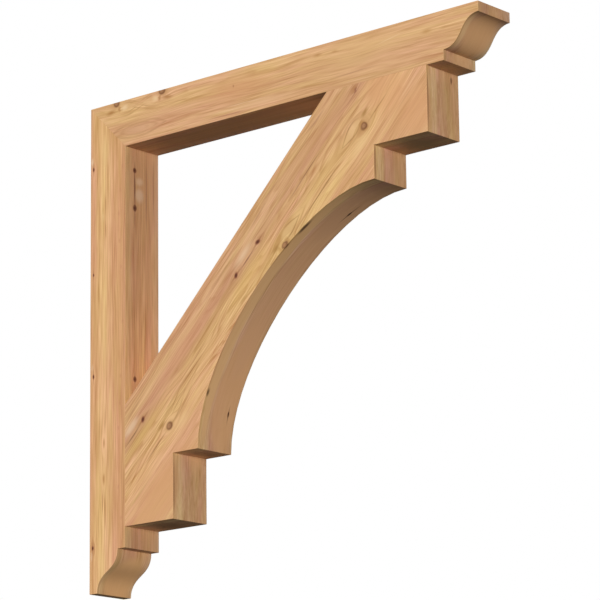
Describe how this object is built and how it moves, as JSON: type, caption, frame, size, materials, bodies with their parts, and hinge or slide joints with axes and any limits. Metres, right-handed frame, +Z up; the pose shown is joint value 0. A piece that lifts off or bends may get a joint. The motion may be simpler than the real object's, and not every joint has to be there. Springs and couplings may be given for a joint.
{
  "type": "wooden corbel bracket",
  "caption": "Open triangular timber bracket: a wall post and a level arm with ogee ends, tied by a wide diagonal brace with stepped ends and a hollow lower edge.",
  "frame": {"origin": "centre of the post's wall face: on the wall, half-way up the bracket, at the middle of its thickness", "axes": "+X out from the wall along the arm, +Z up along the post, Y across the thickness"},
  "size_m": [0.9144, 0.0888, 0.9144],
  "materials": {
    "post": "smooth planed softwood, unfinished",
    "arm": "smooth planed softwood, unfinished",
    "brace": "smooth planed softwood, unfinished"
  },
  "bodies": {
    "root": {"post": "post", "arm": "arm", "brace": "brace"}
  },
  "joints": []
}
